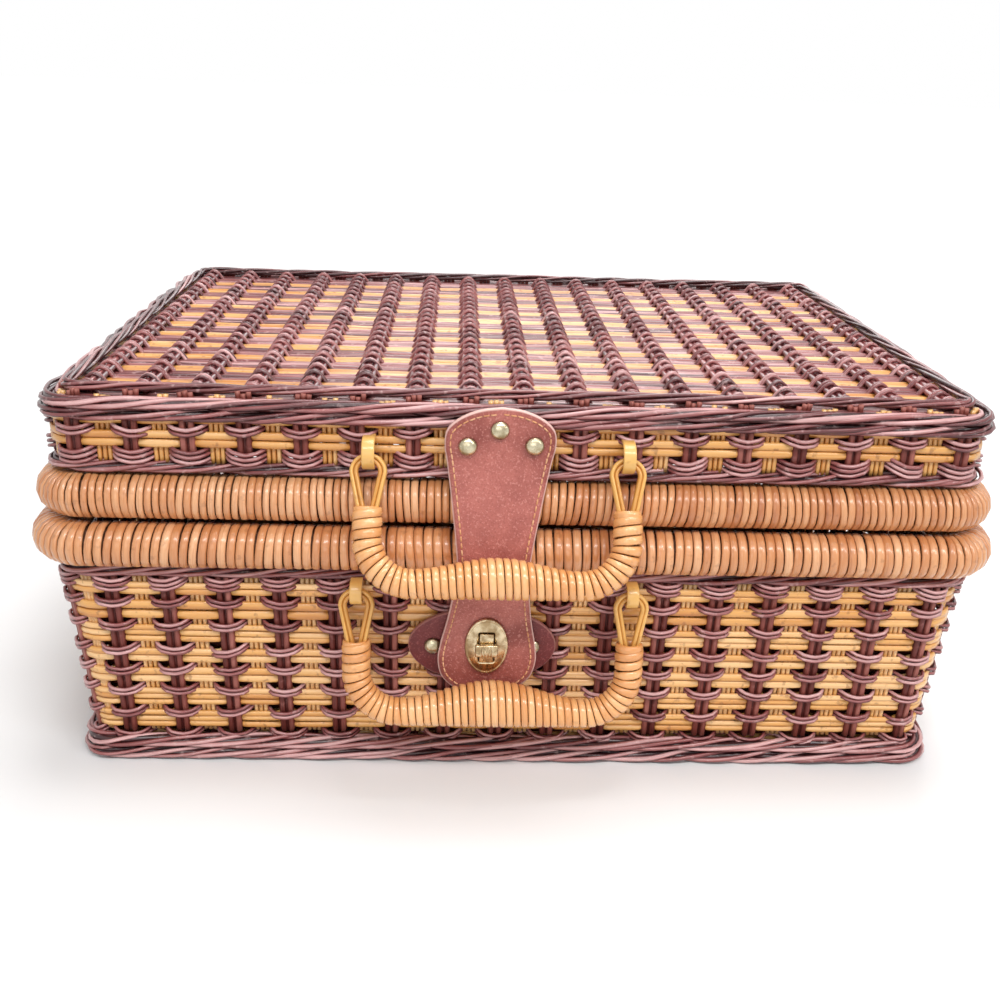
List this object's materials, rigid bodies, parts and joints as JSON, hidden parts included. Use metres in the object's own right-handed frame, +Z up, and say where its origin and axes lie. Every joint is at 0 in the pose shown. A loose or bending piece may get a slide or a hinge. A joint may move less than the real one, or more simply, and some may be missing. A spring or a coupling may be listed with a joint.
{
  "type": "picnic basket",
  "caption": "Woven picnic basket: a base and hinged lid with cane-wrapped rims, two swinging cane handles, and a leather tongue on a brass turn-lock.",
  "frame": {"origin": "middle of the floor that the whole basket covers, at ground level", "axes": "+X to the right along the basket's width, +Y to the back where the hinge loops are, +Z up; the handles and clasp are on the -Y side"},
  "size_m": [0.4294, 0.3362, 0.1819],
  "materials": {
    "willow": "purple-brown willow, satin",
    "honey_cane": "honey-coloured cane, satin",
    "lacquered_cane": "orange-brown lacquered cane, glossy",
    "rod": "bare rod",
    "leather": "reddish-brown stitched leather",
    "brass": "antique brass"
  },
  "bodies": {
    "base": {"base_wall": "honey_cane", "base_floor": "honey_cane", "base_foot_border": "willow", "base_twine_band": "willow", "base_rim_core": "rod", "base_rim_wrap": "lacquered_cane", "lower_staple_left": "honey_cane", "lower_staple_right": "honey_cane", "hinge_loop_left": "honey_cane", "hinge_loop_right": "honey_cane", "clasp_patch": "leather", "patch_rivet_left": "brass", "patch_rivet_right": "brass", "turnlock_base": "brass", "turnlock_back_plate": "brass"},
    "turn_knob": {"turn_knob": "brass"},
    "lower_handle": {"lower_handle_core": "rod", "lower_handle_wrap": "lacquered_cane", "lower_eye_left": "honey_cane", "lower_eye_right": "honey_cane"},
    "lid": {"lid_wall": "honey_cane", "lid_panel": "honey_cane", "lid_top_rope": "willow", "lid_edge_rope": "willow", "lid_twine_band": "willow", "lid_rim_core": "rod", "lid_rim_wrap": "lacquered_cane", "lid_stake_01": "willow", "lid_stake_02": "willow", "lid_stake_03": "willow", "lid_stake_04": "willow", "lid_stake_05": "willow", "lid_stake_06": "willow", "lid_stake_07": "willow", "lid_stake_08": "willow", "lid_stake_09": "willow", "lid_stake_10": "willow", "lid_stake_11": "willow", "lid_stake_12": "willow", "lid_stake_13": "willow", "lid_stake_14": "willow", "lid_stake_15": "willow", "lid_stake_16": "willow", "lid_stake_17": "willow", "upper_staple_left": "honey_cane", "upper_staple_right": "honey_cane", "tongue_leather": "leather", "tongue_rivet_left": "brass", "tongue_rivet_top": "brass", "tongue_rivet_right": "brass"},
    "upper_handle": {"upper_handle_core": "rod", "upper_handle_wrap": "lacquered_cane", "upper_eye_left": "honey_cane", "upper_eye_right": "honey_cane"},
    "tongue": {"tongue_plate": "brass", "tongue_back_ring": "brass"}
  },
  "joints": [
    {"name": "lid_hinge", "type": "hinge", "parent": "base", "child": "lid", "pos_m": [0, 0.15196, 0.1332], "axis": [-1, 0, 0], "range_deg": [0, 105]},
    {"name": "upper_handle_swing", "type": "hinge", "parent": "lid", "child": "upper_handle", "pos_m": [-0.011, -0.13774, 0.155], "axis": [-1, 0, 0], "range_deg": [0, 135]},
    {"name": "lower_handle_swing", "type": "hinge", "parent": "base", "child": "lower_handle", "pos_m": [-0.011, -0.13892, 0.093], "axis": [-1, 0, 0], "range_deg": [0, 100]},
    {"name": "tongue_lift", "type": "hinge", "parent": "lid", "child": "tongue", "pos_m": [-0.011, -0.139, 0.095], "axis": [-1, 0, 0], "range_deg": [0, 90], "deforming": ["tongue_leather"]},
    {"name": "knob_turn", "type": "hinge", "parent": "base", "child": "turn_knob", "pos_m": [-0.014, -0.13275, 0.0684], "axis": [0, -0.9965, -0.0838], "range_deg": [0, 90]}
  ]
}
